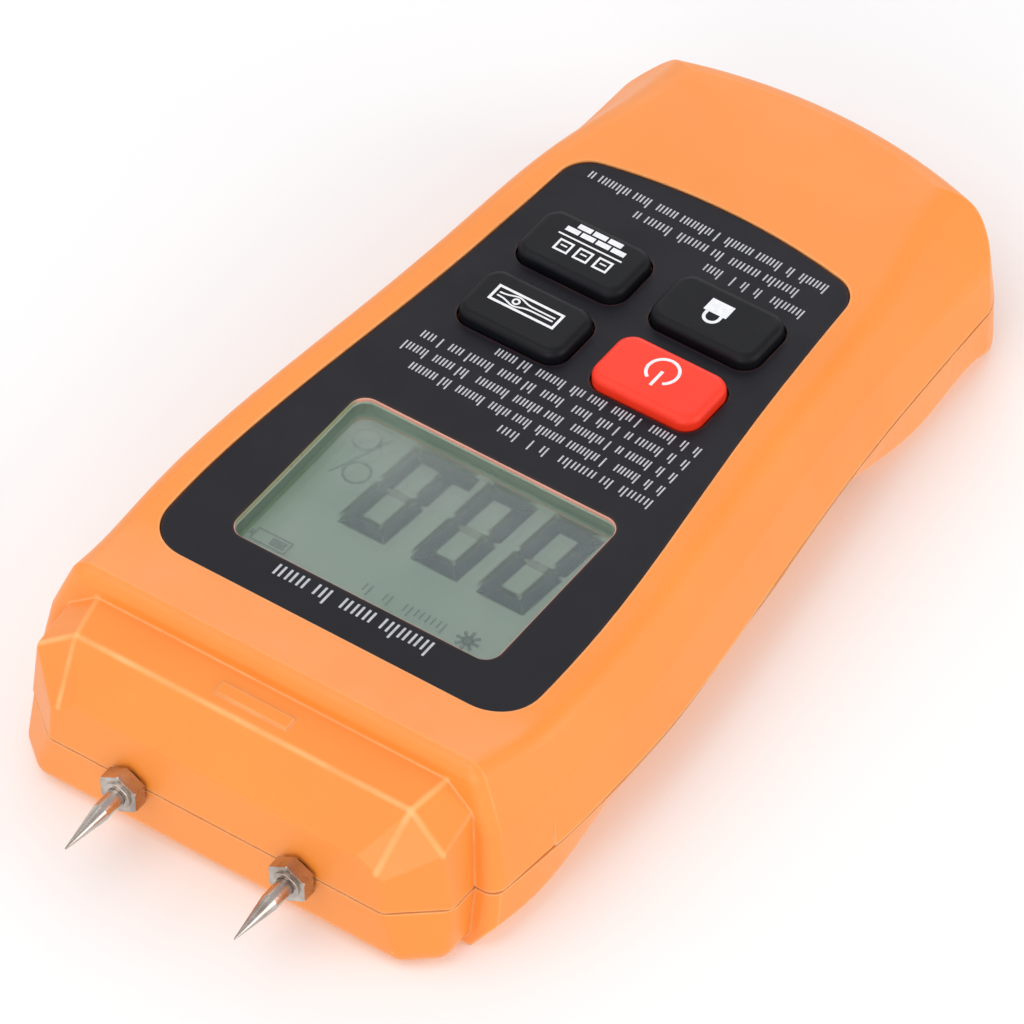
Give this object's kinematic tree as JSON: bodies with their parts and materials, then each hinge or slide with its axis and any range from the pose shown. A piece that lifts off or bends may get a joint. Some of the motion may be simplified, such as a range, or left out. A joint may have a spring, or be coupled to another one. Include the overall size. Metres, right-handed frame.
{
  "type": "pin-type moisture meter",
  "caption": "Handheld pin-type moisture meter: waisted two-part case, stepped head with two needle electrodes, display window, soft keys and sliding battery door.",
  "frame": {"origin": "on the plane of the flat back that the meter rests on, on its centre line, half way along the whole length with the pins", "axes": "+X to the right when the display is read, +Y from the butt towards the measuring pins, +Z out of the face"},
  "size_m": [0.0764, 0.1552, 0.0265],
  "materials": {
    "orange_case": "satin moulded",
    "black_plate": "fine matte",
    "clear_lens": "clear polished",
    "black_internal": "matte",
    "display_bezel": "matte",
    "display_glass": "polished",
    "light_guide": "gloss",
    "zebra_rubber": "matte",
    "board_green": "solder mask",
    "screw_steel": "zinc plated",
    "key_silicone": "matte",
    "chip_black": "matte",
    "chip_ceramic": "matte",
    "capacitor_can": "satin",
    "trimmer_blue": "matte",
    "pin_nickel": "bright nickel plate",
    "socket_brass": "turned",
    "wire_yellow": "satin",
    "wire_red": "satin",
    "wire_black": "satin",
    "battery_jacket": "satin",
    "foam_grey": "open foam",
    "red_key": "matte silicone",
    "black_key": "matte silicone"
  },
  "bodies": {
    "housing": {"front_cover": "orange_case", "rear_cover": "orange_case", "face_plate": "black_plate", "window_lens": "clear_lens", "display_frame": "display_bezel", "display_front_glass": "display_glass", "display_rear_glass": "display_glass", "light_plate": "light_guide", "zebra_strips": "zebra_rubber", "circuit_board": "board_green", "board_screws": "screw_steel", "case_screws": "screw_steel", "keypad_mat": "key_silicone", "controller_chip": "chip_black", "amplifier_chip": "chip_black", "small_board_parts": "chip_ceramic", "capacitor": "capacitor_can", "calibration_trimmer": "trimmer_blue", "left_pin": "pin_nickel", "right_pin": "pin_nickel", "pin_nuts": "pin_nickel", "pin_sockets": "socket_brass", "solder_tags": "socket_brass", "left_pin_wire": "wire_yellow", "right_pin_wire": "wire_yellow", "battery": "battery_jacket", "battery_terminals": "pin_nickel", "battery_snap": "black_internal", "red_battery_lead": "wire_red", "black_battery_lead": "wire_black", "battery_foam": "foam_grey"},
    "power_key": {"power_key": "red_key"},
    "wood_key": {"wood_key": "black_key"},
    "hold_key": {"hold_key": "black_key"},
    "paper_wall_key": {"paper_wall_key": "black_key"},
    "battery_door": {"battery_door": "orange_case"}
  },
  "joints": [
    {"name": "power_press", "type": "slide", "parent": "housing", "child": "power_key", "axis": [0, 0, -1], "range_m": [0, 0.001], "stiffness_N_per_m": 1500, "deforming": ["keypad_mat"]},
    {"name": "wood_press", "type": "slide", "parent": "housing", "child": "wood_key", "axis": [0, 0, -1], "range_m": [0, 0.001], "stiffness_N_per_m": 1500, "deforming": ["keypad_mat"]},
    {"name": "hold_press", "type": "slide", "parent": "housing", "child": "hold_key", "axis": [0, 0, -1], "range_m": [0, 0.001], "stiffness_N_per_m": 1500, "deforming": ["keypad_mat"]},
    {"name": "paper_wall_press", "type": "slide", "parent": "housing", "child": "paper_wall_key", "axis": [0, 0, -1], "range_m": [0, 0.001], "stiffness_N_per_m": 1500, "deforming": ["keypad_mat"]},
    {"name": "battery_door_slide", "type": "slide", "parent": "housing", "child": "battery_door", "axis": [0, -1, 0], "range_m": [0, 0.014]}
  ]
}
